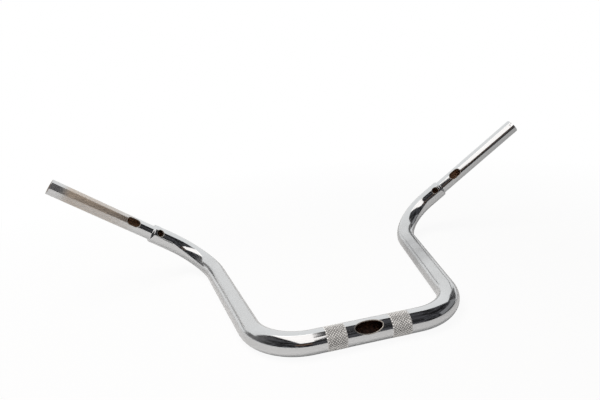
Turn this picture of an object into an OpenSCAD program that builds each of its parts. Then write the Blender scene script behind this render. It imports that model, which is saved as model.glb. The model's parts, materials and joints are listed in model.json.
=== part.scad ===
// Motorcycle handlebar: one length of thick steel tube, bent four times,
// swaged down to a thinner size at both ends and drilled for hidden wiring.
// The origin is the middle of the straight centre, X runs along the centre to
// the rider's right, Y along the rise of the bar, and Z towards the rider.

/* [Tube] */
// Outside diameter of the centre, the risers and the bends
body_d = 31.75; // [28:0.05:35]
// Outside diameter of the two grip ends
grip_d = 25.4; // [22.2:0.1:26]
// Thickness of the tube wall
wall = 3; // [2:0.1:3.5]

/* [Bends] */
// Straight length of the centre, between the two lower bends
centre_l = 146; // [130:1:220]
// Radius of every bend, to the middle of the tube
bend_r = 76; // [60:1:95]
// Angle that each lower bend turns through
riser_bend = 80.5; // [60:0.5:90]
// Straight length of each riser
riser_l = 196; // [60:1:260]
// Angle that each upper bend turns through
grip_bend = 92; // [70:0.5:110]
// Angle that each upper bend is tipped out of the plane of the risers
grip_rise = 39; // [10:1:60]

/* [Grip ends] */
// Straight length of full diameter tube past each upper bend
neck_l = 34.5; // [25:0.5:60]
// Length of the swaged shoulder between the two diameters
shoulder_l = 5; // [4:0.5:10]
// Straight length of each grip end, from its shoulder
grip_l = 176.5; // [150:0.5:220]
// Chamfer on the outer and inner edge of each open end
end_chamfer = 0.5; // [0.2:0.1:1]

/* [Clamp seats] */
// Distance between the middles of the two knurled bands
clamp_pitch = 88; // [80:0.5:90]
// Width of each knurled band
knurl_w = 27; // [20:0.5:30]
// Height to which rolling raises the knurl above the tube
knurl_rise = 0.2; // [0.1:0.05:0.3]

/* [Wiring ports] */
// Length of the oval port in the middle of the centre
oval_l = 37; // [24:0.5:40]
// Width of the oval port
oval_w = 16.5; // [12:0.5:18]
// Angle of the oval port, from straight down the rise towards the rider
oval_turn = 50; // [0:1:90]
// Length of the slot in each grip end
slot_l = 23; // [18:0.5:30]
// Width of the slot in each grip end
slot_w = 13.5; // [8:0.5:14]
// Distance from the shoulder's middle to the middle of the slot
slot_from_shoulder = 38; // [25:0.5:60]
// Diameter of the round port in each neck
neck_port_d = 12; // [8:0.5:14]
// Distance from the shoulder's middle back to the middle of the round port
neck_port_from_shoulder = 11.5; // [11:0.5:20]
// Angle of the grip and neck ports, from the inside of the upper bend
port_turn = 37; // [0:1:90]

/* [Throttle sensor notches] */
// Width of the two notches in the right end
notch_w = 5; // [3:0.5:7]
// Depth of the notches, measured from the end face
notch_depth = 6; // [4:0.5:10]

/* [Hidden] */
$fn = 96;

body_r = body_d / 2;
grip_r = grip_d / 2;
body_bore_r = body_r - wall;
grip_bore_r = grip_r - wall;

// The shoulder is an S of two equal arcs, which meet halfway down the step
swage_drop = body_r - grip_r;
swage_arc_r = (shoulder_l * shoulder_l + swage_drop * swage_drop) / (4 * swage_drop);

// How far bending draws the surface of the tube in, and the lap of the straights
bend_draw = 0.02;
bend_lap = 0.5;

// Angle between neighbouring points of the oval port's ellipse
oval_step = 5;

// Length by which a cutter runs past the face that it opens
past = 2;

chromed_steel = [0.74, 0.76, 0.78];

// Placing frames: in each one the tube runs along +Z, and bends towards +X

module both_sides() {
    children();
    mirror([1, 0, 0]) children();
}

module follow_bend(angle) {
    translate([bend_r, 0, 0])
        rotate([0, angle, 0])
            translate([-bend_r, 0, 0])
                children();
}

module at_centre() {
    rotate([90, 0, 90]) children();
}

module at_lower_bend() {
    at_centre()
        translate([0, 0, centre_l / 2])
            children();
}

module at_riser() {
    at_lower_bend()
        follow_bend(riser_bend)
            children();
}

module at_upper_bend() {
    at_riser()
        translate([0, 0, riser_l])
            rotate([0, 0, 180 - grip_rise])
                children();
}

module at_neck() {
    at_upper_bend()
        follow_bend(grip_bend)
            children();
}

module at_shoulder() {
    at_neck()
        translate([0, 0, neck_l])
            children();
}

module at_grip() {
    at_shoulder()
        translate([0, 0, shoulder_l])
            children();
}

// The stretches of the tube, each as a solid rod of a given radius. A straight
// runs a little way into the bend at either end, where bending has drawn the
// tube in by a hair, so that each bend starts inside its straight.

module straight(r, length, lap_before = bend_lap) {
    translate([0, 0, -lap_before])
        cylinder(r = r, h = lap_before + length);
}

module elbow(r, angle) {
    translate([bend_r, 0, 0])
        rotate([90, 0, 180])
            rotate_extrude(angle = angle)
                translate([bend_r, 0])
                    circle(r - bend_draw);
}

module shoulder_rod(wide_r) {
    narrow_r = wide_r - swage_drop;
    rotate_extrude() {
        square([wide_r - swage_arc_r, shoulder_l / 2]);
        intersection() {
            translate([wide_r - swage_arc_r, 0]) circle(swage_arc_r);
            square([wide_r, shoulder_l / 2]);
        }
        difference() {
            translate([0, shoulder_l / 2])
                square([narrow_r + swage_arc_r, shoulder_l / 2]);
            translate([narrow_r + swage_arc_r, shoulder_l]) circle(swage_arc_r);
        }
    }
}

module side_rod(r) {
    at_centre() straight(r, centre_l / 2 + bend_lap, 0);
    at_lower_bend() elbow(r, riser_bend);
    at_riser() straight(r, riser_l + bend_lap);
    at_upper_bend() elbow(r, grip_bend);
    at_neck() straight(r, neck_l);
    at_shoulder() shoulder_rod(r);
}

module outer_rod() {
    both_sides() {
        side_rod(body_r);
        at_grip() {
            cylinder(r = grip_r, h = grip_l - end_chamfer);
            translate([0, 0, grip_l - end_chamfer])
                cylinder(r1 = grip_r, r2 = grip_r - end_chamfer, h = end_chamfer);
        }
    }
}

module inner_rod() {
    both_sides() {
        side_rod(body_bore_r);
        at_grip() {
            cylinder(r = grip_bore_r, h = grip_l + past);
            translate([0, 0, grip_l - end_chamfer])
                cylinder(r1 = grip_bore_r, r2 = grip_bore_r + end_chamfer + past,
                         h = end_chamfer + past);
        }
    }
}

// What is worked into the tube

module knurled_bands() {
    both_sides()
        translate([clamp_pitch / 2, 0, 0])
            rotate([0, 90, 0])
                cylinder(r = body_r + knurl_rise, h = knurl_w, center = true);
}

module oval() {
    polygon([for (turn = [0:oval_step:360 - oval_step])
        [oval_l / 2 * cos(turn), oval_w / 2 * sin(turn)]]);
}

module oval_port() {
    rotate([90 - oval_turn, 0, 0])
        linear_extrude(height = body_r + past)
            oval();
}

module grip_slot() {
    straight = slot_l - slot_w;
    rotate([0, 0, -port_turn])
        translate([0, 0, slot_from_shoulder - shoulder_l / 2])
            rotate([0, 90, 0])
                linear_extrude(height = grip_r + past) {
                    square([straight, slot_w], center = true);
                    for (side = [-1, 1])
                        translate([side * straight / 2, 0]) circle(d = slot_w);
                }
}

module neck_port() {
    rotate([0, 0, -port_turn])
        translate([0, 0, neck_l + shoulder_l / 2 - neck_port_from_shoulder])
            rotate([0, 90, 0])
                cylinder(d = neck_port_d, h = body_r + past);
}

module sensor_notches() {
    round_r = notch_w / 2;
    floor_z = grip_l - notch_depth + round_r;
    rotate([0, 0, -port_turn])
        rotate([0, 90, 0]) {
            translate([-floor_z, 0, 0])
                cylinder(r = round_r, h = 2 * (grip_r + past), center = true);
            translate([-floor_z - notch_depth - past, -round_r, -grip_r - past])
                cube([notch_depth + past, notch_w, 2 * (grip_r + past)]);
        }
}

module handlebar() {
    color(chromed_steel)
        difference() {
            union() {
                outer_rod();
                knurled_bands();
            }
            inner_rod();
            oval_port();
            both_sides() {
                at_grip() grip_slot();
                at_neck() neck_port();
            }
            at_grip() sensor_notches();
        }
}

handlebar();
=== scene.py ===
"""Chromed motorcycle handlebar, built as an add-on and run as a script.

The tube is skinned in rings along its bent centre line. Each ring keeps the angle that its
points had before bending, so a port is an outline on the unrolled tube, and the marks of
use can be laid along the tube and around it. Lengths are in metres and angles in radians.
"""

import json
import math
from functools import partial

import bpy
import numpy as np
from bpy.props import FloatProperty, IntProperty, PointerProperty, StringProperty
from bpy.types import Operator, Panel, PropertyGroup
from mathutils import Euler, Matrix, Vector


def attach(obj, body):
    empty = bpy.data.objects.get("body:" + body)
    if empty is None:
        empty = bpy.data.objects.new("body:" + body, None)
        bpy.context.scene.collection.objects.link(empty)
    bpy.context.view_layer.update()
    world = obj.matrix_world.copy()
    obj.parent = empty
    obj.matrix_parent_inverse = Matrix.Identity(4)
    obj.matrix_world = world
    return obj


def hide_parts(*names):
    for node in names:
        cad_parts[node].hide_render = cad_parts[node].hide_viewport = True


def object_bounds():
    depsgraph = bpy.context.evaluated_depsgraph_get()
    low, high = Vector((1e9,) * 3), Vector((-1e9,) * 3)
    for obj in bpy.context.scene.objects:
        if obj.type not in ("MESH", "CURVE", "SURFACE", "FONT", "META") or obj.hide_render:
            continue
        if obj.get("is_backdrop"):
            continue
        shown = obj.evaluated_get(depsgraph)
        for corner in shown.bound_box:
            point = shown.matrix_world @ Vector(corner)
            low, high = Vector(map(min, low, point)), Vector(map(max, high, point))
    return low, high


bl_info = {
    "name": "Chromed Handlebar",
    "version": (1, 0, 0),
    "blender": (4, 5, 0),
    "location": "3D View > Sidebar > Handlebar",
    "description": "Skins, knurls, plates and lights a bent steel handlebar",
    "category": "Add Mesh",
}

MM = 0.001
FULL_TURN = 2 * math.pi

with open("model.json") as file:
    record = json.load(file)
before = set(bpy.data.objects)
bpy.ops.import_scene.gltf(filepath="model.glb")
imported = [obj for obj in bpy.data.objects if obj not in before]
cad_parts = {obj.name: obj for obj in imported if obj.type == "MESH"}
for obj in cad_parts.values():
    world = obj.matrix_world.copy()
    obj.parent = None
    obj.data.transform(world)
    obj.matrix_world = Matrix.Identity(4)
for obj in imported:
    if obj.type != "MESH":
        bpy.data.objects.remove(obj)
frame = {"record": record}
CAD_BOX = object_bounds()
MOUNTS = {mount["name"]: mount for mount in frame["record"]["mounts"]}
CAD_NODE = "handlebar"
BODY = "root"


def length(name, default_mm, description):
    """A length property, given in millimetres and held in metres."""
    return FloatProperty(
        name=name, description=description, default=default_mm * MM, min=0.0, unit="LENGTH", precision=5
    )


def angle(name, default_degrees, description):
    """An angle property, given in degrees and held in radians."""
    return FloatProperty(
        name=name, description=description, default=math.radians(default_degrees), subtype="ANGLE"
    )


def colour(name, default_hex, description):
    """A colour property, held as an sRGB hex value."""
    return StringProperty(name=name, description=description, default=default_hex)


def share(name, default, description):
    """A property from 0 to 1."""
    return FloatProperty(
        name=name, description=description, default=default, min=0.0, max=1.0, subtype="FACTOR"
    )


class TubeSizes(PropertyGroup):
    """The bent tube, as the frame has it"""

    body_d: length("Tube diameter", 31.75, "Outside diameter of the centre, risers and bends")
    grip_d: length(
        "Grip diameter", 2 * MOUNTS["left_grip_seat"]["dims"]["r_mm"], "Outside diameter of the grip ends"
    )
    grip_bore_d: length(
        "Grip bore", 2 * MOUNTS["left_end_bore"]["dims"]["r_mm"], "Inside diameter of the grip ends"
    )
    centre_l: length("Centre", 146.0, "Straight length between the lower bends")
    bend_r: length("Bend radius", 76.0, "Radius of every bend, to the middle of the tube")
    riser_bend: angle("Lower bend", 80.5, "Angle that each lower bend turns through")
    riser_l: length("Riser", 196.0, "Straight length of each riser")
    grip_bend: angle("Upper bend", 92.0, "Angle that each upper bend turns through")
    grip_rise: angle("Grip rise", 39.0, "Angle of the upper bends out of the plane of the risers")
    neck_l: length("Neck", 34.5, "Straight length of full diameter tube past each upper bend")
    shoulder_l: length("Shoulder", 5.0, "Length of the swaged shoulder")
    grip_l: length("Grip", 176.5, "Straight length of each grip end")
    end_chamfer: length("End chamfer", 0.5, "Chamfer on the edges of each open end")


class PortSizes(PropertyGroup):
    """The wiring ports and the throttle sensor notches"""

    oval_l: length("Oval length", 37.0, "Length of the oval port in the centre")
    oval_w: length("Oval width", 16.5, "Width of the oval port")
    oval_turn: angle("Oval turn", 130.0, "Angle of the oval port round the tube")
    oval_rim: length("Oval rim", 1.3, "Width of the ground rim of the oval port")
    slot_l: length("Slot length", 23.0, "Length of the slot in each grip end")
    slot_w: length("Slot width", 13.5, "Width of the slot in each grip end")
    slot_from_shoulder: length("Slot distance", 38.0, "From the middle of the shoulder to the slot")
    neck_port_d: length("Neck port", 12.0, "Diameter of the round port in each neck")
    neck_port_from_shoulder: length("Neck port distance", 11.5, "Back from the middle of the shoulder")
    port_turn: angle("Port turn", 104.0, "Angle of the grip and neck ports round the tube")
    small_rim: length("Small rim", 0.8, "Width of the dressed rim of the slots and neck ports")
    notch_w: length("Notch width", 5.0, "Width of the notches in the right end")
    notch_depth: length("Notch depth", 6.0, "Depth of the notches, from the end face")


class KnurlSizes(PropertyGroup):
    """The diamond knurl of the two clamp seats, its teeth drawn 3.9 mm apart so that they show"""

    pitch: length("Clamp pitch", 88.0, "Distance between the middles of the knurled bands")
    width: length("Width", 27.0, "Width of each knurled band")
    peak_r: length("Peak radius", MOUNTS["clamp_seat"]["dims"]["r_mm"], "Radius at the tips of the teeth")
    groove: length("Groove depth", 0.6, "Depth of the grooves below the tips")
    around: IntProperty(name="Teeth around", description="Diamonds in each row", default=26, min=12)
    along: IntProperty(name="Rows", description="Rows of diamonds across the band", default=7, min=2)
    tip: share("Tip", 0.34, "Width of a tooth's flat tip, as a share of the diamond")


class FinishColours(PropertyGroup):
    """Colours of the finishes, as sRGB hex values"""

    chrome: colour("Chrome", "D4D6D7", "Bright chrome plate, seen head on")
    haze: colour("Haze", "C2C4C4", "Thin grey film of handling and storage on the plate")
    glue: colour("Glue film", "C2B2A0", "Brown film that the left grip's glue left behind")
    cut_steel: colour("Cut steel", "CFCAC2", "Dressed rims and cut end faces")
    knurl: colour("Knurl", "ECEDEC", "Plate on the teeth of the knurl")
    crushed: colour("Crushed tips", "F4F3F0", "Tips of the knurl, crushed matt by the clamps")
    # Dirt and painted shade, darkening the grooves of the knurl
    groove_dirt_and_shade: colour("Knurl dirt and shade", "3A3835", "Dirt in the grooves of the knurl")
    # Painted shade, darkening the plate of the upper right riser
    riser_shade: colour("Riser shade", "A9ABAD", "Grey grime on the plate of the right riser")
    pits: colour("Pits", "8A8680", "Dirt in the small pits of the plate")
    stone_marks: colour("Stone marks", "A09A92", "Marks that the stone left on the dressed rims")
    rust_dark: colour("Dark rust", "20120D", "Old rust deep inside the bore")
    rust_mid: colour("Rust", "6E4A36", "Brown rust near the ports")
    rust_thin: colour("Thin rust", "A58468", "Thin brown rust in the grip ends")
    floor: colour("Floor", "E9E9E9", "Matt white table paper")
    # Painted reflections: the room's dark and dim tones glow on sheets that only the chrome shows
    dark_room_reflection: colour("Dark room", "0C0C0E", "Darkest parts of the unlit room behind the camera")
    dim_room_reflection: colour("Dim room", "4E4E52", "Palest parts of the unlit room")
    # Painted reflections: grey, brown and dark tones that glow on cards only the chrome shows
    grey_reflection: colour("Grey reflection", "8A8A8C", "Dim reflection to the right of the camera")
    brown_reflection: colour("Brown reflection", "6A5446", "Brown reflection behind the camera")
    far_left_reflection: colour("Far left reflection", "606064", "Dark strip at the far left")
    lamp: colour("Lamp", "FFFAF7", "Light of the lamps, a little warm")


class StageSettings(PropertyGroup):
    """Floor, light and camera"""

    lamp_level: FloatProperty(name="Lamps", description="Strength of the overhead light", default=1.0, min=0)
    ambient: FloatProperty(name="Ambient", description="Strength of the world's light", default=0.12, min=0)
    floor_white: share("Floor white", 0.93, "How far the floor is lifted to white for the camera")
    mirrored_white: share("Mirrored white", 0.12, "How far it is lifted to white in mirrors and glass")
    lens: FloatProperty(name="Lens", description="Focal length on a 36 mm wide frame, in mm", default=28.2265)


def hex_to_linear(text):
    """An sRGB hex value as a linear RGBA tuple."""
    channels = [int(text[i : i + 2], 16) / 255 for i in (0, 2, 4)]
    return tuple(c / 12.92 if c <= 0.04045 else ((c + 0.055) / 1.055) ** 2.4 for c in channels) + (1.0,)


def add_node(tree, kind, settings=None, links=None):
    """Adds a node to a tree. Its kind is given without the ShaderNode that starts every name.

    A setting is one of its properties or inputs. A link feeds an input from an output, or from a
    node, which then stands for the first of its outputs that is in use."""
    node = tree.nodes.new("ShaderNode" + kind)
    for key, value in (settings or {}).items():
        if isinstance(key, str) and hasattr(node, key):
            setattr(node, key, value)
        else:
            node.inputs[key].default_value = value
    for key, source in (links or {}).items():
        if isinstance(source, bpy.types.Node):
            source = next(output for output in source.outputs if output.enabled)
        tree.links.new(source, node.inputs[key])
    return node


def new_material(name):
    """An empty material that uses nodes, and the call that adds one to it."""
    material = bpy.data.materials.new(name)
    material.use_nodes = True
    material.node_tree.nodes.clear()
    return material, partial(add_node, material.node_tree)


def turned(axis, turn):
    """A 4x4 turn about one of the axes x, y or z."""
    c, s = math.cos(turn), math.sin(turn)
    a, b = {"x": (1, 2), "y": (2, 0), "z": (0, 1)}[axis]
    matrix = np.eye(4)
    matrix[a, a] = matrix[b, b] = c
    matrix[b, a] = s
    matrix[a, b] = -s
    return matrix


def moved(x=0.0, y=0.0, z=0.0):
    """A 4x4 shift."""
    matrix = np.eye(4)
    matrix[:3, 3] = x, y, z
    return matrix


def nearest(rings, s):
    """Number of the ring nearest to a distance along the tube."""
    return int(np.argmin(np.abs(rings - s)))


class CentreLine:
    """The tube's centre line, from its middle out to the right end; the left half mirrors it."""

    def __init__(self, t):
        self.bend_r = t.bend_r
        middle = turned("z", math.pi / 2) @ turned("x", math.pi / 2)
        lower = middle @ moved(z=t.centre_l / 2)
        riser = lower @ self.bend(t.bend_r, t.riser_bend)
        upper = riser @ moved(z=t.riser_l) @ turned("z", math.pi - t.grip_rise)
        neck = upper @ self.bend(t.bend_r, t.grip_bend)
        untwist = turned("z", t.grip_rise - math.pi)
        self.stretches, self.stations = [], {}
        at = 0.0
        for name, start, span, curved, after in (
            ("centre", middle, t.centre_l / 2, False, np.eye(4)),
            ("lower_bend", lower, t.bend_r * t.riser_bend, True, np.eye(4)),
            ("riser", riser, t.riser_l, False, np.eye(4)),
            ("upper_bend", upper, t.bend_r * t.grip_bend, True, untwist),
            ("neck", neck, t.neck_l + t.shoulder_l + t.grip_l, False, untwist),
        ):
            self.stretches.append((at, at + span, start, curved, after))
            self.stations[name] = at
            at += span
        self.stations["shoulder"] = self.stations["neck"] + t.neck_l
        self.stations["grip"] = self.stations["shoulder"] + t.shoulder_l
        self.stations["end"] = at

    @staticmethod
    def bend(radius, turn):
        return moved(x=radius) @ turned("y", turn) @ moved(x=-radius)

    def frame_at(self, s):
        """The 4x4 frame at a distance s from the middle, its Z along the tube."""
        for start_s, end_s, start, curved, after in self.stretches:
            if s <= end_s + 1e-9:
                break
        step = self.bend(self.bend_r, (s - start_s) / self.bend_r) if curved else moved(z=s - start_s)
        return start @ step @ after

    def place(self, s, turn, radius, lean=0.0, inward=False):
        """Points on a tube of that radius, their normals, and where they were before the tube was bent.

        Left of the middle s is negative. lean tips the normal towards the nearer end, and inward
        turns it to the axis."""
        s, turn, radius, lean = np.broadcast_arrays(*(np.asarray(v, float) for v in (s, turn, radius, lean)))
        points = np.empty(s.shape + (3,))
        normals = np.empty(s.shape + (3,))
        for value in np.unique(np.round(s, 9)):
            here = np.abs(s - value) < 1e-8
            f = self.frame_at(abs(value))
            radial = np.cos(turn[here])[:, None] * f[:3, 0] + np.sin(turn[here])[:, None] * f[:3, 1]
            p = f[:3, 3] + radius[here][:, None] * radial
            n = np.cos(lean[here])[:, None] * radial + np.sin(lean[here])[:, None] * f[:3, 2]
            if value < 0:
                p[:, 0] *= -1
                n[:, 0] *= -1
            points[here] = p
            normals[here] = -n if inward else n
        return points, normals, np.stack([s, radius * np.cos(turn), radius * np.sin(turn)], -1)


class Skin:
    """Gathers patches of a mesh, and welds them where their points meet."""

    WELD = 2e-6

    def __init__(self):
        self.points, self.normals, self.marks = [], [], []
        self.faces, self.finishes = [], []
        self.count = 0

    def add_points(self, points, normals, marks):
        first = self.count
        for store, values in ((self.points, points), (self.normals, normals), (self.marks, marks)):
            store.append(np.asarray(values, float).reshape(-1, 3))
        self.count += len(self.points[-1])
        return first

    def add_faces(self, quads, finish, flip=False):
        self.faces.append(quads[:, ::-1] if flip else quads)
        self.finishes.append(np.full(len(quads), finish))

    def add_grid(self, points, normals, marks, finish, closed=False, flip=False, keep=None):
        """A grid of quads. When it is closed, its last column meets its first."""
        rows, cols = points.shape[:2]
        first = self.add_points(points, normals, marks)
        i, j = np.meshgrid(np.arange(rows - 1), np.arange(cols if closed else cols - 1), indexing="ij")
        after = (j + 1) % cols
        quads = np.stack([i * cols + j, i * cols + after, (i + 1) * cols + after, (i + 1) * cols + j], -1)
        if keep is not None:
            quads = quads[keep]
        self.add_faces(quads.reshape(-1, 4) + first, finish, flip)

    def add_quads(self, corners, finish, normals=None, flip=False):
        """A row of quads, from four rows of corners, each with its points, normals and marks."""
        points, own_normals, marks = (np.stack(part, 1) for part in zip(*corners))
        if normals is not None:
            own_normals = np.repeat(normals[:, None], 4, 1)
        first = self.add_points(points, own_normals, marks)
        self.add_faces(first + np.arange(len(points))[:, None] * 4 + np.arange(4), finish, flip)

    def build(self, name, materials):
        """The mesh object, with smooth shading, its own normals and the unbent place of each point."""
        parts = (self.points, self.normals, self.marks, self.faces, self.finishes)
        points, normals, marks, faces, finishes = (np.concatenate(part) for part in parts)
        keys = np.round(points / self.WELD).astype(np.int64)
        _, kept, welded = np.unique(keys, axis=0, return_index=True, return_inverse=True)
        corners = welded.reshape(-1)[faces]
        whole = np.array([len(set(quad)) == 4 for quad in corners.tolist()])
        corners, faces, finishes = corners[whole], faces[whole], finishes[whole]
        mesh = bpy.data.meshes.new(name)
        mesh.from_pydata(points[kept].tolist(), [], corners.tolist())
        for material in materials:
            mesh.materials.append(material)
        mesh.polygons.foreach_set("material_index", finishes.astype(np.int32))
        mesh.polygons.foreach_set("use_smooth", np.ones(len(finishes), bool))
        unbent = mesh.attributes.new("unbent", "FLOAT_VECTOR", "POINT")
        unbent.data.foreach_set("vector", marks[kept].astype(np.float32).ravel())
        mesh.update()
        mesh.normals_split_custom_set(normals[faces].reshape(-1, 3).tolist())
        piece = bpy.data.objects.new(name, mesh)
        bpy.context.scene.collection.objects.link(piece)
        return piece


class Port:
    """An opening cut straight down through one wall: its outline, and where it is on the tube.

    block is the half length and the half angle of the stretch of skin that is patched round it."""

    def __init__(self, s, turn, outline, rim, block):
        self.s, self.turn, self.outline, self.rim = s, turn, outline, rim
        self.reach, self.spread = block
        ahead = np.roll(outline, -1, axis=0) - np.roll(outline, 1, axis=0)
        ahead /= np.linalg.norm(ahead, axis=1)[:, None]
        self.away = np.stack([ahead[:, 1], -ahead[:, 0]], axis=1)
        steps = np.linalg.norm(np.diff(np.vstack([outline, outline[:1]]), axis=0), axis=1)
        self.fractions = np.concatenate([[0], np.cumsum(steps)]) / steps.sum()

    def at(self, fraction, grown=0.0):
        """Points of the outline, and the way out of it, at shares of its length."""
        fraction = np.mod(fraction, 1.0)
        closed = np.vstack([self.outline, self.outline[:1]])
        away = np.vstack([self.away, self.away[:1]])
        point = np.stack([np.interp(fraction, self.fractions, closed[:, k]) for k in (0, 1)], -1)
        way = np.stack([np.interp(fraction, self.fractions, away[:, k]) for k in (0, 1)], -1)
        way /= np.linalg.norm(way, axis=-1)[..., None]
        return point + np.asarray(grown)[..., None] * way, way


def oval_outline(long, wide, steps=720):
    """An ellipse, anticlockwise from its right tip."""
    turn = np.arange(steps) / steps * FULL_TURN
    return np.stack([long / 2 * np.cos(turn), wide / 2 * np.sin(turn)], -1)


def slot_outline(long, wide, steps=720):
    """A slot with round ends, anticlockwise from its right tip; a circle when as wide as long."""
    turn = np.arange(steps) / steps * FULL_TURN
    shift = np.sign(np.cos(turn)) * (long - wide) / 2
    outline = np.stack([shift + wide / 2 * np.cos(turn), wide / 2 * np.sin(turn)], -1)
    return outline[np.abs(np.cos(turn)) > 1e-9]


COLUMNS = 96
COLUMN = FULL_TURN / COLUMNS
CHROME, CUT_STEEL, RUST = 0, 1, 2


class TubeMaker:
    """Skins the tube, inside and out, with its ports, shoulders and ends."""

    # Layers of quads in the patch round an opening, over its rim, and down its wall
    PATCH_LAYERS, RIM_LAYERS, WALL_LAYERS = 6, 4, 3
    # Half length and half angle of the block of skin that is patched round each kind of port
    OVAL_BLOCK = 24 * MM, math.radians(50)
    SLOT_BLOCK = 16 * MM, math.radians(56)
    HOLE_BLOCK = 8.4 * MM, math.radians(40)
    # The same for a notch, its length measured from the end of the tube
    NOTCH_BLOCK = 10 * MM, math.radians(26)
    # Distances between rings: on bends, on straights, and the three where there are openings
    OUTER_RINGS, INNER_RINGS = (2 * MM, 5 * MM), (3 * MM, 9 * MM)
    OVAL_RINGS, SLOT_RINGS, HOLE_RINGS = 1.5 * MM, 1.4 * MM, 1.2 * MM
    # Rings on each of the two arcs of a shoulder
    ARC_RINGS = 8
    # Power that crowds the layers of a patch towards its port
    CROWDING = 1.3

    def __init__(self, tube, ports, knurl):
        self.t, self.p, self.k = tube, ports, knurl
        self.line = CentreLine(tube)
        self.skin = Skin()
        self.columns = np.arange(COLUMNS) / COLUMNS * FULL_TURN
        self.body_r = tube.body_d / 2
        self.grip_r = tube.grip_d / 2
        self.wall = (tube.grip_d - tube.grip_bore_d) / 2
        self.drop = self.body_r - self.grip_r
        # The shoulder is an S of two equal arcs, which meet halfway down the step
        self.arc_r = (tube.shoulder_l**2 + self.drop**2) / (4 * self.drop)
        self.end = self.line.stations["end"]
        self.skin_end = self.end - tube.end_chamfer
        self.notch_start = self.end - self.NOTCH_BLOCK[0]
        self.notch_turns = [ports.port_turn, ports.port_turn + math.pi]
        self.ports = self.all_ports()

    def all_ports(self):
        """The oval, and the slot and the neck port of each side."""
        t, p = self.t, self.p
        middle = self.line.stations["shoulder"] + t.shoulder_l / 2
        slot = slot_outline(p.slot_l, p.slot_w)
        hole = slot_outline(p.neck_port_d, p.neck_port_d)
        ports = [Port(0.0, p.oval_turn, oval_outline(p.oval_l, p.oval_w), p.oval_rim, self.OVAL_BLOCK)]
        for side in (1, -1):
            for distance, outline, block in (
                (middle + p.slot_from_shoulder, slot, self.SLOT_BLOCK),
                (middle - p.neck_port_from_shoulder, hole, self.HOLE_BLOCK),
            ):
                ports.append(Port(side * distance, p.port_turn, outline, p.small_rim, block))
        return ports

    # Rings

    def profile(self, s, inner):
        """Radius and lean of the surface at distances |s| from the middle."""
        wide = self.body_r - (self.wall if inner else 0.0)
        narrow = wide - self.drop
        z = np.clip(np.abs(s) - self.line.stations["shoulder"], 0, self.t.shoulder_l)
        rest = self.t.shoulder_l - z
        upper = z <= self.t.shoulder_l / 2
        first = wide - self.arc_r + np.sqrt(np.maximum(self.arc_r**2 - z**2, 0))
        second = narrow + self.arc_r - np.sqrt(np.maximum(self.arc_r**2 - rest**2, 0))
        return np.where(upper, first, second), np.arcsin(np.where(upper, z, rest) / self.arc_r)

    def right_rings(self, inner):
        """Distances of the rings from the middle to the right end, closer where the form turns."""
        at, shoulder_l = self.line.stations, self.t.shoulder_l
        near, far = self.INNER_RINGS if inner else self.OUTER_RINGS
        band_start, band_stop = (self.k.pitch / 2 + edge * self.k.width / 2 for edge in (-1, 1))
        hole, slot = sorted((port.s - port.reach, port.s + port.reach) for port in self.ports if port.s > 0)
        # Where each stretch of rings starts, and how far apart its rings are
        starts = [
            (0.0, self.OVAL_RINGS),
            (self.OVAL_BLOCK[0], far),
            (band_start, far),
            (band_stop, far),
            (at["lower_bend"], near),
            (at["riser"], far),
            (at["upper_bend"], near),
            (at["neck"], far),
            (hole[0], self.HOLE_RINGS),
            (hole[1], near),
            (at["shoulder"], shoulder_l),
            (at["grip"], near),
            (slot[0], self.SLOT_RINGS),
            (slot[1], far),
            (self.notch_start, self.HOLE_RINGS),
            (self.skin_end, far),
        ]
        # The rings of the shoulder follow its arcs
        arc_turn = math.asin(shoulder_l / 2 / self.arc_r)
        climb = self.arc_r * np.sin(np.linspace(0, arc_turn, self.ARC_RINGS))
        rings = list(np.concatenate([climb, shoulder_l - climb[::-1]]) + at["shoulder"])
        for (start, step), (stop, _) in zip(starts, starts[1:]):
            rings += list(np.linspace(start, stop, max(2, math.ceil((stop - start) / step) + 1)))
        rings = np.unique(np.round(rings, 8))
        return rings[np.concatenate([[True], np.diff(rings) > 1e-7])]

    def put(self, s, turn, inner, closed=False, keep=None):
        """A patch of the outer or the inner skin, given by distances and angles."""
        radius, lean = self.profile(s, inner)
        placed = self.line.place(s, turn, radius, lean, inward=inner)
        self.skin.add_grid(*placed, RUST if inner else CHROME, closed=closed, flip=inner, keep=keep)

    def put_layers(self, opening, edge, inner, closed, crowding=1.0):
        """The skin from the edge of an opening out to the edge of its block, both as (s, turn)."""
        w = (np.linspace(0, 1, self.PATCH_LAYERS + 1) ** crowding)[:, None, None]
        layers = opening * (1 - w) + edge * w
        # The open U of a notch runs the other way round than a port's loop, so it is turned over
        layers = layers if closed else layers[::-1]
        self.put(layers[..., 0], layers[..., 1], inner, closed=closed)

    def surface(self, inner):
        """The skin between the two ends, with its ports and notches left open and patched round."""
        right = self.right_rings(inner)
        rings = np.concatenate([-right[:0:-1], right])
        s, turn = np.meshgrid(rings, self.columns, indexing="ij")
        keep = np.ones((len(rings) - 1, COLUMNS), bool)
        if not inner:
            middle = (rings[1:] + rings[:-1]) / 2
            keep[np.abs(np.abs(middle) - self.k.pitch / 2) < self.k.width / 2, :] = False
        for port in self.ports:
            self.open_port(port, rings, keep, inner)
        for turn_of in self.notch_turns:
            self.open_notch(turn_of, rings, keep, inner)
        self.put(s, turn, inner, closed=True, keep=keep)

    @staticmethod
    def columns_round(turn, spread):
        """Numbers of the first and the last column of a block."""
        return round((turn - spread) / COLUMN), round((turn + spread) / COLUMN)

    # Ports

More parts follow.
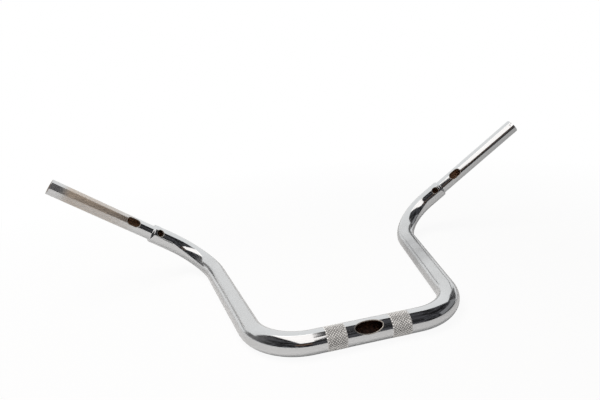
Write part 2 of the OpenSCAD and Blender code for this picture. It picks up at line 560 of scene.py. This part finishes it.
    def open_port(self, port, rings, keep, inner):
        """Leaves out a block of the skin, and fills it up to the port's rim."""
        first, last = nearest(rings, port.s - port.reach), nearest(rings, port.s + port.reach)
        low, high = self.columns_round(port.turn, port.spread)
        keep[first:last, np.arange(low, high) % COLUMNS] = False
        south = [(rings[i], low * COLUMN) for i in range(first, last)]
        east = [(rings[last], j * COLUMN) for j in range(low, high)]
        north = [(rings[i], high * COLUMN) for i in range(last, first, -1)]
        west = [(rings[first], j * COLUMN) for j in range(high, low, -1)]
        edge = np.array(south + east + north + west)
        # Each point of the block's edge goes to the point of the rim at the same share of the way round
        du, dv = edge[:, 0] - port.s, edge[:, 1] - port.turn
        u = np.where(du > 0, du / (rings[last] - port.s), du / (port.s - rings[first]))
        v = np.where(dv > 0, dv / (high * COLUMN - port.turn), dv / (port.turn - low * COLUMN))
        sides = [u > 1 - 1e-6, v > 1 - 1e-6, u < -1 + 1e-6]
        fraction = np.select(sides, [v / 8, 0.25 - u / 8, 0.5 - v / 8], 0.75 + u / 8)
        wide = self.body_r if abs(port.s) < self.line.stations["shoulder"] else self.grip_r
        radius = wide - self.wall if inner else wide
        rim, _ = port.at(fraction, 0.0 if inner else port.rim)
        opening = np.stack([port.s + rim[:, 0], port.turn + np.arcsin(rim[:, 1] / radius)], -1)
        self.put_layers(opening, edge, inner, closed=True, crowding=self.CROWDING)
        if not inner:
            self.rim_and_wall(port, fraction, radius)

    def axes_at(self, s, turn):
        """The point on the axis, the way along the tube, across, and out at an angle."""
        f = self.line.frame_at(abs(s))
        out = math.cos(turn) * f[:3, 0] + math.sin(turn) * f[:3, 1]
        across = -math.sin(turn) * f[:3, 0] + math.cos(turn) * f[:3, 1]
        origin, along = f[:3, 3].copy(), f[:3, 2].copy()
        if s < 0:
            for vector in (origin, across, out):
                vector[0] *= -1
            along = along * (1, -1, -1)
        return origin, along, across, out

    def wall_heights(self, across, radius, lowered=0.0):
        """Layers of a cut wall, from the outer skin down to the bore: shares of the way, and heights."""
        w = np.linspace(0, 1, self.WALL_LAYERS + 1)[:, None]
        top = np.sqrt(radius**2 - across**2) - lowered
        foot = np.sqrt((radius - self.wall) ** 2 - across**2)
        return w, top * (1 - w) + foot * w

    def rim_and_wall(self, port, fraction, radius):
        """The rounded rim, dressed with a stone, and the wall of a port down to the bore."""
        origin, along, across, out = self.axes_at(port.s, port.turn)
        c, s = math.cos(port.turn), math.sin(port.turn)

        def add(uv, height, normal, finish):
            points = origin + uv[..., 0:1] * along + uv[..., 1:2] * across + height[..., None] * out
            marks = [port.s + uv[..., 0], height * c - uv[..., 1] * s, height * s + uv[..., 1] * c]
            self.skin.add_grid(points, normal, np.stack(marks, -1), finish, closed=True, flip=True)

        theta = np.linspace(0, math.pi / 2, self.RIM_LAYERS + 1)[:, None]
        grown = port.rim * (1 - np.sin(theta)) + 0 * fraction
        uv, way = port.at(fraction + 0 * theta, grown)
        height = np.sqrt(radius**2 - uv[..., 1] ** 2) - port.rim * (1 - np.cos(theta))
        hole_ward = -(way[..., 0:1] * along + way[..., 1:2] * across)
        skin_ward = (uv[..., 1:2] * across + np.sqrt(radius**2 - uv[..., 1:2] ** 2) * out) / radius
        normal = np.cos(theta)[..., None] * skin_ward + np.sin(theta)[..., None] * hole_ward
        add(uv, height, normal / np.linalg.norm(normal, axis=-1)[..., None], CUT_STEEL)

        uv, way = port.at(fraction)
        w, height = self.wall_heights(uv[:, 1], radius, port.rim)
        uv = uv + 0 * w[..., None]
        normal = -(way[:, 0:1] * along + way[:, 1:2] * across) + 0 * w[..., None]
        # The walls of the slots and the neck ports were dressed with their rims, and the oval's was not
        add(uv, height, normal, RUST if port.s == 0 else CUT_STEEL)

    # Ends

    def notch_outline(self, count):
        """The notch's U, as (distance, across), from its low side round to its high side."""
        half = self.p.notch_w / 2
        floor = self.end - self.p.notch_depth + half
        side = self.skin_end - floor
        whole = 2 * side + math.pi * half
        points = []
        for part in np.linspace(0, 1, count) * whole:
            if part <= side:
                points.append((self.skin_end - part, -half))
            elif part >= whole - side:
                points.append((self.skin_end - (whole - part), half))
            else:
                round_turn = (part - side) / half
                points.append((floor - half * math.sin(round_turn), -half * math.cos(round_turn)))
        return np.array(points)

    def open_notch(self, turn_of, rings, keep, inner):
        """Leaves out a block of the skin at the right end, and fills it up to the notch."""
        first, last = nearest(rings, self.notch_start), len(rings) - 1
        low, high = self.columns_round(turn_of, self.NOTCH_BLOCK[1])
        keep[first:last, np.arange(low, high) % COLUMNS] = False
        down = [(rings[i], low * COLUMN) for i in range(last, first, -1)]
        across = [(rings[first], j * COLUMN) for j in range(low, high)]
        up = [(rings[i], high * COLUMN) for i in range(first, last + 1)]
        edge = np.array(down + across + up)
        outline = self.notch_outline(len(edge))
        radius = self.grip_r - (self.wall if inner else 0.0)
        opening = np.stack([outline[:, 0], turn_of + np.arcsin(outline[:, 1] / radius)], -1)
        self.put_layers(opening, edge, inner, closed=False)
        if not inner:
            self.notch_wall(turn_of, outline)

    def notch_wall(self, turn_of, outline):
        """The cut wall of a notch, from the outer skin to the bore."""
        origin, along, across, out = self.axes_at(self.end, turn_of)
        ahead = np.gradient(outline, axis=0)
        ahead /= np.linalg.norm(ahead, axis=1)[:, None]
        w, height = self.wall_heights(outline[:, 1], self.grip_r)
        base = origin + (outline[:, 0:1] - self.end) * along + outline[:, 1:2] * across
        # The metal lies to the left of the outline, so the wall faces its right
        normal = ahead[:, 1:2] * along - ahead[:, 0:1] * across + 0 * w[..., None]
        marks = np.stack([outline[:, 0] + 0 * w, height, outline[:, 1] + 0 * w], -1)
        self.skin.add_grid(base + height[..., None] * out, normal, marks, CUT_STEEL)

    def end_turns(self, radius, notched):
        """Angles of the points round an open end. Each stretch between two notches is one list."""
        if not notched:
            return [self.columns]
        stretches = []
        first, second = self.notch_turns
        w = np.linspace(0, 1, self.PATCH_LAYERS + 1)
        half = math.asin(self.p.notch_w / 2 / radius)
        for start, stop in ((first, second), (second, first + FULL_TURN)):
            low = self.columns_round(start, self.NOTCH_BLOCK[1])[1]
            high = self.columns_round(stop, self.NOTCH_BLOCK[1])[0]
            leave = (start + half) * (1 - w) + low * COLUMN * w
            arrive = high * COLUMN * (1 - w) + (stop - half) * w
            stretches.append(np.concatenate([leave, np.arange(low + 1, high) * COLUMN, arrive]))
        return stretches

    def end_face(self, side):
        """The cut end of the tube, chamfered outside and inside."""
        notched = side > 0
        outer, bore, c = self.grip_r, self.grip_r - self.wall, self.t.end_chamfer
        w = np.linspace(0, 1, 3)[:, None]
        for start_s, start_r, stop_s, stop_r, lean, finish in (
            (self.skin_end, outer, self.end, outer - c, math.pi / 4, CHROME),
            (self.end, outer - c, self.end, bore + c, math.pi / 2, CUT_STEEL),
            (self.end, bore + c, self.skin_end, bore, 3 * math.pi / 4, CUT_STEEL),
        ):
            s = side * (start_s * (1 - w) + stop_s * w)
            radius = start_r * (1 - w) + stop_r * w
            for starts, stops in zip(*(self.end_turns(r, notched) for r in (start_r, stop_r))):
                placed = self.line.place(s, starts * (1 - w) + stops * w, radius, lean)
                self.skin.add_grid(*placed, finish, closed=not notched, flip=side < 0)

    def make(self, materials):
        for inner in (False, True):
            self.surface(inner)
        for side in (1, -1):
            self.end_face(side)
        return self.skin.build("handlebar_tube", materials)


def make_knurl(name, side, tube, knurl, material):
    """One clamp seat: rows of diamond teeth with flat tips, pressed by two crossed knurl wheels."""
    line = CentreLine(tube)
    skin = Skin()
    rows, round_cells = 2 * knurl.along, 2 * knurl.around
    start = side * knurl.pitch / 2 - knurl.width / 2
    row_step, turn_step = knurl.width / rows, FULL_TURN / round_cells
    low_r = knurl.peak_r - knurl.groove
    body_r = tube.body_d / 2

    def place(row, cells, radius):
        return line.place(start + row * row_step, cells * turn_step, radius)

    for row in range(1, rows):
        cells = np.arange(row % 2, round_cells, 2)
        feet, tips = [], []
        for down, round_by in ((0, -1), (1, 0), (0, 1), (-1, 0)):
            foot_r = body_r if row + down in (0, rows) else low_r
            feet.append(place(row + down, cells + round_by, foot_r))
            tips.append(place(row + down * knurl.tip, cells + round_by * knurl.tip, knurl.peak_r))
        for k in range(4):
            after = (k + 1) % 4
            quad = [feet[k], tips[k], tips[after], feet[after]]
            a, b, c, d = (corner[0] for corner in quad)
            facet = np.cross(c - a, d - b)
            facet /= np.linalg.norm(facet, axis=1)[:, None]
            outwards = np.einsum("ij,ij->i", facet, feet[k][1]) > 0
            skin.add_quads(quad, 0, np.where(outwards[:, None], facet, -facet))
        skin.add_quads(tips, 0, flip=True)
    # Half diamonds close the knurl at its two edges, where the grooves run out on the tube
    cells = np.arange(0, round_cells, 2)
    for edge, inner in ((0, 1), (rows, rows - 1)):
        left, right = place(edge, cells - 1, body_r), place(edge, cells + 1, body_r)
        quad = [left, place(inner, cells, low_r), right, place(edge, cells, body_r)]
        skin.add_quads(quad, 0, flip=edge == 0)
    return skin.build(name, [material])


# Finishes. In a Map Range, inputs 1 and 2 are the range that goes in, and 3 and 4 the one that comes
# out. In a Mix of colours, 0 is the share of the second colour, and 6 and 7 are the two colours.


def per_metre(size_mm):
    """Scale of a pattern whose marks are this many millimetres apart."""
    return 1 / (size_mm * MM)


def unbent_place(add):
    """Where a point was before the tube was bent: X along it, Y and Z across it, in metres."""
    return add("Attribute", {"attribute_name": "unbent"}).outputs["Vector"]


def between(first_hex, second_hex):
    """Settings of a mix of two colours."""
    return {"data_type": "RGBA", 6: hex_to_linear(first_hex), 7: hex_to_linear(second_hex)}


def window(add, value, low, high, blur, strength=None):
    """1, or a strength, where value is between low and high, and 0 past a soft edge."""
    soft = {"interpolation_type": "SMOOTHSTEP"}
    rise = add("MapRange", {**soft, 1: low - blur, 2: low + blur}, {0: value})
    inside = {0: value} if strength is None else {0: value, 3: strength}
    fall = add("MapRange", {**soft, 1: high - blur, 2: high + blur, 3: 1.0, 4: 0.0}, inside)
    return add("Math", {"operation": "MULTIPLY"}, {0: rise, 1: fall})


def marks_and_painted_shade(add, unbent, at):
    """The marks on the plate, each from 0 to 1: haze, painted shade on the right riser, glue and its zone,
    thin film, scratches.
    """
    along = add("SeparateXYZ", links={0: unbent}).outputs["X"]
    distance = add("Math", {"operation": "ABSOLUTE"}, {0: along})

    # The haze is cloudy at the scale of a hand's touch, 22 mm. It covers each riser and about half of
    # the bend at either end of it
    cloud = add("TexNoise", {"Scale": per_metre(22.2), "Detail": 4.0, "Roughness": 0.6}, {"Vector": unbent})
    clouds = add("MapRange", {1: 0.35, 2: 0.68, 3: 0.55, 4: 1.0}, {0: cloud})
    haze = window(add, distance, at["lower_bend"] + 65 * MM, at["upper_bend"] + 45 * MM, 30 * MM, clouds)
    # Painted shade darkens the upper half of the right riser, in the same clouds as the haze
    riser_shade = window(add, along, at["riser"] + 80 * MM, at["riser"] + 175 * MM, 30 * MM, clouds)

    # The glue film lies on the left grip in streaks, 16.7 mm long and 2.4 mm apart, and thins out
    # from the end of the grip to its slot
    fineness = (per_metre(16.7), per_metre(2.38), per_metre(2.38))
    stretched = add("VectorMath", {"operation": "MULTIPLY", 1: fineness}, {0: unbent})
    streak = add("TexNoise", {"Scale": 1.0, "Detail": 5.0, "Roughness": 0.65}, {"Vector": stretched})
    cover = add("MapRange", {1: 0.3, 2: 0.7, 3: 0.55, 4: 1.0}, {0: streak})
    glued = (-(at["end"] - 22 * MM), -(at["grip"] + 35 * MM))
    fade = add("MapRange", {1: -at["end"], 2: glued[1], 3: 1.0, 4: 0.4}, {0: along})
    patchy = add("Math", {"operation": "MULTIPLY"}, {0: cover, 1: fade})
    glue_zone = window(add, along, *glued, 10 * MM)
    glue = window(add, along, *glued, 10 * MM, patchy)
    # A thin grey film is left too, from the end of that grip nearly to its slot
    grip_film = window(add, along, -(at["end"] + 20 * MM), -(at["grip"] + 60 * MM), 15 * MM)

    # Scratches run along the tube, 20 mm long and 0.3 mm apart
    fineness = (per_metre(20), per_metre(0.303), per_metre(0.303))
    stretched = add("VectorMath", {"operation": "MULTIPLY", 1: fineness}, {0: unbent})
    scratch = add("TexNoise", {"Scale": 1.0, "Detail": 2.0, "Roughness": 0.5}, {"Vector": stretched})
    return haze, riser_shade, glue, glue_zone, grip_film, scratch


def chrome_plate(colours, line):
    """Bright chrome plate on polished steel tube.

    It mirrors its surroundings, softened by a thin grey film that lies thicker on the risers,
    by fine scratches along the tube, and by the brown film that the left grip's glue left."""
    material, add = new_material("bright_chrome_plate")
    unbent = unbent_place(add)
    haze, riser_shade, glue, glue_zone, grip_film, scratch = marks_and_painted_shade(add, unbent, line.stations)

    # Painted shade: the plate of the upper right riser is mixed towards a darker grey
    riser_shaded = add("Mix", between(colours.chrome, colours.riser_shade), {0: riser_shade})
    # Pits in the plate, two thirds of a millimetre across
    pit = add("TexNoise", {"Scale": per_metre(2 / 3), "Detail": 2.0}, {"Vector": unbent})
    pits = add("MapRange", {1: 0.68, 2: 0.76}, {0: pit})
    tone = add("Mix", between(colours.chrome, colours.pits), {0: pits, 6: riser_shaded})
    # The plate is smooth, and each mark of use makes it rougher
    hazed = add("MapRange", {3: 0.06, 4: 0.17}, {0: haze})
    glued = add("Math", {"operation": "MULTIPLY_ADD", 1: 0.12}, {0: glue, 2: hazed})
    rough = add("Math", {"operation": "MULTIPLY_ADD", 1: 0.06}, {0: scratch, 2: glued})
    bump = add("Bump", {"Strength": 0.02, "Distance": 0.2 * MM}, {"Height": scratch})
    surface = {"Base Color": tone, "Roughness": rough, "Normal": bump}
    plate = add("BsdfPrincipled", {"Metallic": 1.0}, surface)

    # The films scatter a little light themselves, so the reflections under them go grey or brown
    tint = add("Mix", between(colours.haze, colours.glue), {0: glue_zone})
    dull = add("BsdfPrincipled", {"Metallic": 0.0, "Roughness": 0.6}, {"Base Color": tint})
    # How much of the plate they hide: a trace everywhere, more on the left grip, and most under glue
    thin = add("Math", {"operation": "MULTIPLY_ADD", 1: 0.16, 2: 0.02}, {0: grip_film})
    thicker = add("Math", {"operation": "MULTIPLY_ADD", 1: 0.32}, {0: haze, 2: thin})
    hidden = add("Math", {"operation": "MULTIPLY_ADD", 1: 0.68}, {0: glue, 2: thicker})
    mixed = add("MixShader", {}, {0: hidden, 1: plate, 2: dull})
    add("OutputMaterial", links={"Surface": mixed})
    return material


def dressed_steel(colours):
    """Bare steel, dressed with a stone: pale, satin, with faint marks across the edge."""
    material, add = new_material("dressed_bare_steel")
    # Marks of the stone, 0.4 mm apart
    marks = add("TexNoise", {"Scale": per_metre(0.4), "Detail": 3.0}, {"Vector": unbent_place(add)})
    pale = add("MapRange", {1: 0.3, 2: 0.6}, {0: marks})
    tone = add("Mix", between(colours.stone_marks, colours.cut_steel), {0: pale})
    bump = add("Bump", {"Strength": 0.1, "Distance": 0.2 * MM}, {"Height": marks})
    rough = add("MapRange", {3: 0.30, 4: 0.48}, {0: marks})
    surface = {"Base Color": tone, "Roughness": rough, "Normal": bump}
    add("OutputMaterial", links={"Surface": add("BsdfPrincipled", {"Metallic": 0.85}, surface)})
    return material


def rusted_bore(colours, line):
    """Unplated steel inside the tube: dry brown rust, dark where it is thick, with a matt grain."""
    material, add = new_material("rusted_bare_bore")
    unbent = unbent_place(add)
    # Patches of rust of 4 mm, and grains of 0.6 mm on them
    blotches = {"Scale": per_metre(4.17), "Detail": 6.0, "Roughness": 0.65}
    pale = add("MapRange", {1: 0.36, 2: 0.66}, {0: add("TexNoise", blotches, {"Vector": unbent})})
    grain = add("TexNoise", {"Scale": per_metre(0.625), "Detail": 3.0}, {"Vector": unbent})
    tone = add("Mix", between(colours.rust_dark, colours.rust_mid), {0: pale})
    # From the necks outwards the rust is thin and pale
    distance = add("Math", {"operation": "ABSOLUTE"}, {0: add("SeparateXYZ", links={0: unbent}).outputs["X"]})
    thin = window(add, distance, line.stations["neck"], line.stations["end"], 20 * MM)
    worn = add("Mix", between(colours.rust_mid, colours.rust_thin), {0: thin, 6: tone})
    bump = add("Bump", {"Strength": 0.5, "Distance": 0.3 * MM}, {"Height": grain})
    rust = add("BsdfPrincipled", {"Metallic": 0.15, "Roughness": 0.62}, {"Base Color": worn, "Normal": bump})
    add("OutputMaterial", links={"Surface": rust})
    return material


def knurled_chrome(colours, knurl):
    """Chrome plate over the rolled knurl: bright teeth, crushed matt at their tips, and grey dirt with
    painted shade between.
    """
    material, add = new_material("chrome_plated_knurl")
    unbent = unbent_place(add)
    across = add("VectorMath", {"operation": "MULTIPLY", 1: (0.0, 1.0, 1.0)}, {0: unbent})
    radius = add("VectorMath", {"operation": "LENGTH"}, {0: across})
    # Dirt and painted shade fill the lower six tenths of the grooves, in clots of 3 mm
    groove = {1: knurl.peak_r - knurl.groove, 2: knurl.peak_r - 0.4 * knurl.groove}
    depth = add("MapRange", {**groove, 3: 1.0, 4: 0.0}, {0: radius})
    clots = add("TexNoise", {"Scale": per_metre(3.33), "Detail": 4.0}, {"Vector": unbent})
    cover = add("MapRange", {1: 0.3, 2: 0.6, 3: 0.6, 4: 1.0}, {0: clots})
    dirt_and_shade = add("Math", {"operation": "MULTIPLY"}, {0: depth, 1: cover})
    # Painted shade: the deeper a groove, the more it is mixed towards the dark colour
    tone = add("Mix", between(colours.knurl, colours.groove_dirt_and_shade), {0: dirt_and_shade})
    rough = add("MapRange", {3: 0.18, 4: 0.6}, {0: dirt_and_shade})
    teeth = add("BsdfPrincipled", {"Metallic": 1.0}, {"Base Color": tone, "Roughness": rough})
    # The clamps crushed the tips matt, so they scatter light where plain plate mirrors the dark room
    matt_tone = add("Mix", between(colours.crushed, colours.groove_dirt_and_shade), {0: dirt_and_shade})
    matt = add("BsdfPrincipled", {"Metallic": 0.0, "Roughness": 0.6}, {"Base Color": matt_tone})
    both = add("MixShader", {0: 0.6}, {1: teeth, 2: matt})
    add("OutputMaterial", links={"Surface": both})
    return material


# The stage

WHITE = (1.0, 1.0, 1.0, 1.0)
SOFTBOX_HEIGHT = 1.0
# The lamps: name, place of the middle, width and depth, radiance, and whether the chrome mirrors it
LAMPS = [
    ("softbox", (-0.17, -0.52, SOFTBOX_HEIGHT), 0.56, 1.84, 1.45, True),
    ("softbox_strip", (0.15, -0.95, SOFTBOX_HEIGHT), 0.08, 1.0, 1.4, True),
    ("room_light", (-0.75, 0.15, 1.6), 1.1, 1.1, 5.5, False),
]
# Level sheets: left, right and near edges, and the far edge at left and at right
FLOOR_PAPER = (-4.0, 4.0, -4.0, 4.0, 4.0)
# Painted reflections: dark sheets of the room that only the chrome shows
DARK_FLOOR = (-3.0, 3.0, -3.0, -0.74, -0.74)
DARK_CEILING = (-3.0, 3.0, -3.0, 0.32, 0.42)
CEILING_HEIGHT = SOFTBOX_HEIGHT + 0.03
# Painted reflections on a sphere round the bar: radius, and rows of (azimuth from -Y, lower elevation, upper
# elevation), in degrees
DARK_WALLS = (
    2.7,
    [(-116, 4, 26), (-80, 3, 30), (-20, 2, 40), (0, -3, 40), (60, -4, 40), (92, -2, 36), (128, 14, 30)],
)
# A brown patch of painted reflection behind the camera
BROWN_REFLECTION = 2.5, [(-24, 16, 36), (4, 16, 36)]
# A grey patch of painted reflection to the right of the camera
GREY_REFLECTION = 2.5, [(60, 4, 30), (80, 6, 56), (104, 4, 56)]
# A thin dark strip of painted reflection, low at the far left
FAR_LEFT_REFLECTION = 2.6, [(-172, 13, 17), (-148, 13.5, 18.5), (-118, 14, 19)]
# The camera: width of its frame in millimetres, place in metres and turn in degrees
FRAME_WIDTH = 36.0
CAMERA_PLACE = (-0.17966, -0.51022, 0.34942)
CAMERA_TURN = (72.951, 4.8915, -13.2684)


def stage_mesh(name, points, faces, material, only_mirrored=True):
    """A piece of the stage. Unless told otherwise, it is seen in the chrome alone."""
    mesh = bpy.data.meshes.new(name)
    mesh.from_pydata([tuple(p) for p in points], [], faces)
    mesh.materials.append(material)
    thing = bpy.data.objects.new(name, mesh)
    bpy.context.scene.collection.objects.link(thing)
    thing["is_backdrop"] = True
    if only_mirrored:
        thing.visible_camera = thing.visible_diffuse = thing.visible_shadow = False


def level_sheet(name, material, edges, height, only_mirrored=True):
    """A level sheet, given by its left, right and near edges, and its far edge at left and right."""
    left, right, near, far_left, far_right = edges
    corners = [(left, near), (right, near), (right, far_right), (left, far_left)]
    stage_mesh(name, [(x, y, height) for x, y in corners], [(0, 1, 2, 3)], material, only_mirrored)


def seen_directly(add):
    """Two values: 1 for the camera's rays, and 1 for those that it sees in a mirror or through glass too."""
    path = add("LightPath").outputs
    first = add("Math", {"operation": "MAXIMUM"}, {0: path["Is Camera Ray"], 1: path["Is Glossy Ray"]})
    both = add("Math", {"operation": "MAXIMUM"}, {0: first, 1: path["Is Transmission Ray"]})
    return path["Is Camera Ray"], both


def make_world(scene, settings):
    """A white sweep behind the bar. The light that it gives is softer than what is seen of it."""
    world = bpy.data.worlds.new("white_sweep")
    scene.world = world
    world.use_nodes = True
    world.node_tree.nodes.clear()
    add = partial(add_node, world.node_tree)
    _, seen = seen_directly(add)
    strength = add("MapRange", {3: settings.ambient, 4: 1.0}, {0: seen})
    light = add("Background", {"Color": WHITE}, {"Strength": strength})
    add("OutputWorld", links={"Surface": light})


def make_floor(settings, colours):
    """White table paper. The camera sees it lifted to white, and it keeps the bar's shadow."""
    material, add = new_material("white_table_paper")
    place = add("TexCoord").outputs["Object"]
    # The grain of the paper, 1.1 mm
    grain = add("TexNoise", {"Scale": per_metre(1.11), "Detail": 2.0}, {"Vector": place})
    bump = add("Bump", {"Strength": 0.05, "Distance": 0.2 * MM}, {"Height": grain})
    finish = {"Base Color": hex_to_linear(colours.floor), "Roughness": 0.9, "Specular IOR Level": 0.1}
    paper = add("BsdfPrincipled", finish, {"Normal": bump})
    white = add("Emission", {"Color": WHITE, "Strength": 1.0})
    by_camera, seen = seen_directly(add)
    # From 0.45 m to 1.1 m from the bar's middle the paper turns into the white sweep, with no edge
    away = add("VectorMath", {"operation": "LENGTH"}, {0: place})
    whiteness = add("MapRange", {1: 0.45, 2: 1.1, 3: settings.floor_white, 4: 1.0}, {0: away})
    lift = add("Math", {"operation": "MULTIPLY"}, {0: by_camera, 1: whiteness})
    # The plate mirrors the paper darker than the camera sees it, nearly as the lamps leave it
    mirrored = add("Math", {"operation": "MULTIPLY", 1: settings.mirrored_white}, {0: seen})
    share_of_white = add("Math", {"operation": "MAXIMUM"}, {0: lift, 1: mirrored})
    mixed = add("MixShader", {}, {0: share_of_white, 1: paper, 2: white})
    add("OutputMaterial", links={"Surface": mixed})
    level_sheet("floor_paper", material, FLOOR_PAPER, CAD_BOX[0][2], only_mirrored=False)


def round_card(name, material, radius, edge, steps=6):
    """A card on a wide sphere round the bar, from rows of azimuth, lower and upper elevation."""
    corners = np.array(edge, float)
    azimuths = np.arange(corners[0, 0], corners[-1, 0] + 0.1, 2.0)
    low, high = (np.interp(azimuths, corners[:, 0], corners[:, k]) for k in (1, 2))
    points = []
    for a, bottom, top in zip(np.radians(azimuths), np.radians(low), np.radians(high)):
        for e in np.linspace(bottom, top, steps + 1):
            way = (math.cos(e) * math.sin(a), -math.cos(e) * math.cos(a), math.sin(e))
            points.append(radius * Vector(way))
    starts = [i * (steps + 1) + j for i in range(len(azimuths) - 1) for j in range(steps)]
    faces = [(k, k + 1, k + steps + 2, k + steps + 1) for k in starts]
    stage_mesh(name, points, faces, material)


def even_tone(name, hex_colour):
    """A painted reflection: an even glowing tone that lights nothing and only shows in reflections."""
    material, add = new_material(name)
    glow = add("Emission", {"Color": hex_to_linear(hex_colour), "Strength": 1.0})
    add("OutputMaterial", links={"Surface": glow})
    return material


def room_reflection(colours):
    """Painted reflection of a dim room: soft patches of glowing tone, 455 mm apart."""
    material, add = new_material("room_reflection")
    place = add("TexCoord").outputs["Object"]
    patches = add("TexNoise", {"Scale": per_metre(455), "Detail": 3.0}, {"Vector": place})
    pale = add("MapRange", {"interpolation_type": "SMOOTHSTEP", 1: 0.4, 2: 0.66}, {0: patches})
    tone = add("Mix", between(colours.dark_room_reflection, colours.dim_room_reflection), {0: pale})
    add("OutputMaterial", links={"Surface": add("Emission", {"Strength": 1.0}, {"Color": tone})})
    return material


def make_lamps(settings, colours):
    """A softbox hung 1 m over the bar, a strip of light beside it, and a lamp that fills the shadows."""
    for name, place, wide, deep, radiance, mirrored in LAMPS:
        lamp = bpy.data.lights.new(name, "AREA")
        lamp.shape = "RECTANGLE"
        lamp.size, lamp.size_y = wide, deep
        lamp.color = hex_to_linear(colours.lamp)[:3]
        lamp.energy = radiance * math.pi * wide * deep * settings.lamp_level
        thing = bpy.data.objects.new(name, lamp)
        thing.location = place
        thing.visible_glossy = mirrored
        bpy.context.scene.collection.objects.link(thing)


def make_room_reflections(colours):
    """Painted reflections of the dark room: glowing sheets and cards that only the chrome shows. It opens on
    the white sweep behind.
    """
    dark = room_reflection(colours)
    level_sheet("dark_ceiling", dark, DARK_CEILING, CEILING_HEIGHT)
    level_sheet("dark_floor", dark, DARK_FLOOR, CAD_BOX[0][2] + 1 * MM)
    round_card("dark_walls", dark, *DARK_WALLS)
    # Painted reflections: cards of even glowing tone
    for name, card in (("brown_reflection", BROWN_REFLECTION), ("grey_reflection", GREY_REFLECTION), ("far_left_reflection", FAR_LEFT_REFLECTION)):
        round_card(name, even_tone(name, getattr(colours, name)), *card)


def make_camera(scene, settings):
    """The photograph's viewpoint."""
    data = bpy.data.cameras.new("photograph_view")
    data.sensor_fit = "HORIZONTAL"
    data.sensor_width = FRAME_WIDTH
    data.lens = settings.lens
    data.clip_start = 0.01
    data.clip_end = 50.0
    camera = bpy.data.objects.new("photograph_view", data)
    camera.location = CAMERA_PLACE
    camera.rotation_euler = Euler([math.radians(a) for a in CAMERA_TURN], "XYZ")
    scene.collection.objects.link(camera)
    scene.camera = camera


# The add-on


def dress(piece, replaces=False):
    """Ties a piece to the frame."""
    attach(piece, BODY)
    if replaces:
        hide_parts(CAD_NODE)


class HANDLEBAR_OT_tube(Operator):
    """Skin the bent tube with its ports, shoulders and ends, and plate it"""

    bl_idname = "handlebar.tube"
    bl_label = "Chromed Tube"

    def execute(self, context):
        scene = context.scene
        maker = TubeMaker(scene.handlebar_tube, scene.handlebar_ports, scene.handlebar_knurl)
        colours, line = scene.handlebar_colours, maker.line
        finishes = [chrome_plate(colours, line), dressed_steel(colours), rusted_bore(colours, line)]
        dress(maker.make(finishes), replaces=True)
        return {"FINISHED"}


class HANDLEBAR_OT_knurls(Operator):
    """Press the diamond knurl into the two clamp seats"""

    bl_idname = "handlebar.knurls"
    bl_label = "Knurled Clamp Seats"

    def execute(self, context):
        scene = context.scene
        knurl = scene.handlebar_knurl
        material = knurled_chrome(scene.handlebar_colours, knurl)
        for name, side in (("knurl_left", -1), ("knurl_right", 1)):
            dress(make_knurl(name, side, scene.handlebar_tube, knurl, material))
        return {"FINISHED"}


class HANDLEBAR_OT_stage(Operator):
    """Set out the floor, the light and the camera"""

    bl_idname = "handlebar.stage"
    bl_label = "Floor, Light and Camera"

    def execute(self, context):
        scene = context.scene
        settings, colours = scene.handlebar_stage, scene.handlebar_colours
        scene.view_settings.view_transform = "Standard"
        make_world(scene, settings)
        make_floor(settings, colours)
        make_lamps(settings, colours)
        make_room_reflections(colours)
        make_camera(scene, settings)
        return {"FINISHED"}


class HANDLEBAR_PT_build(Panel):
    """Sizes, colours and the steps of the build"""

    bl_idname = "HANDLEBAR_PT_build"
    bl_label = "Chromed Handlebar"
    bl_space_type = "VIEW_3D"
    bl_region_type = "UI"
    bl_category = "Handlebar"

    def draw(self, context):
        for group in ("tube", "ports", "knurl", "colours", "stage"):
            box = self.layout.box()
            settings = getattr(context.scene, "handlebar_" + group)
            for name in settings.__annotations__:
                box.prop(settings, name)
        for operator in (HANDLEBAR_OT_tube, HANDLEBAR_OT_knurls, HANDLEBAR_OT_stage):
            self.layout.operator(operator.bl_idname)


GROUPS = {
    "handlebar_tube": TubeSizes,
    "handlebar_ports": PortSizes,
    "handlebar_knurl": KnurlSizes,
    "handlebar_colours": FinishColours,
    "handlebar_stage": StageSettings,
}
CLASSES = (
    *GROUPS.values(),
    HANDLEBAR_OT_tube,
    HANDLEBAR_OT_knurls,
    HANDLEBAR_OT_stage,
    HANDLEBAR_PT_build,
)


def register():
    for cls in CLASSES:
        bpy.utils.register_class(cls)
    for name, group in GROUPS.items():
        setattr(bpy.types.Scene, name, PointerProperty(type=group))


def unregister():
    for name in GROUPS:
        delattr(bpy.types.Scene, name)
    for cls in reversed(CLASSES):
        bpy.utils.unregister_class(cls)


def main():
    register()
    bpy.ops.handlebar.tube()
    bpy.ops.handlebar.knurls()
    bpy.ops.handlebar.stage()
    sizes = {"cad": CAD_BOX, "visual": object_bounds()}
    {k: [list(map(float, corner)) for corner in box] for k, box in sizes.items()}


if __name__ == "__main__":
    main()
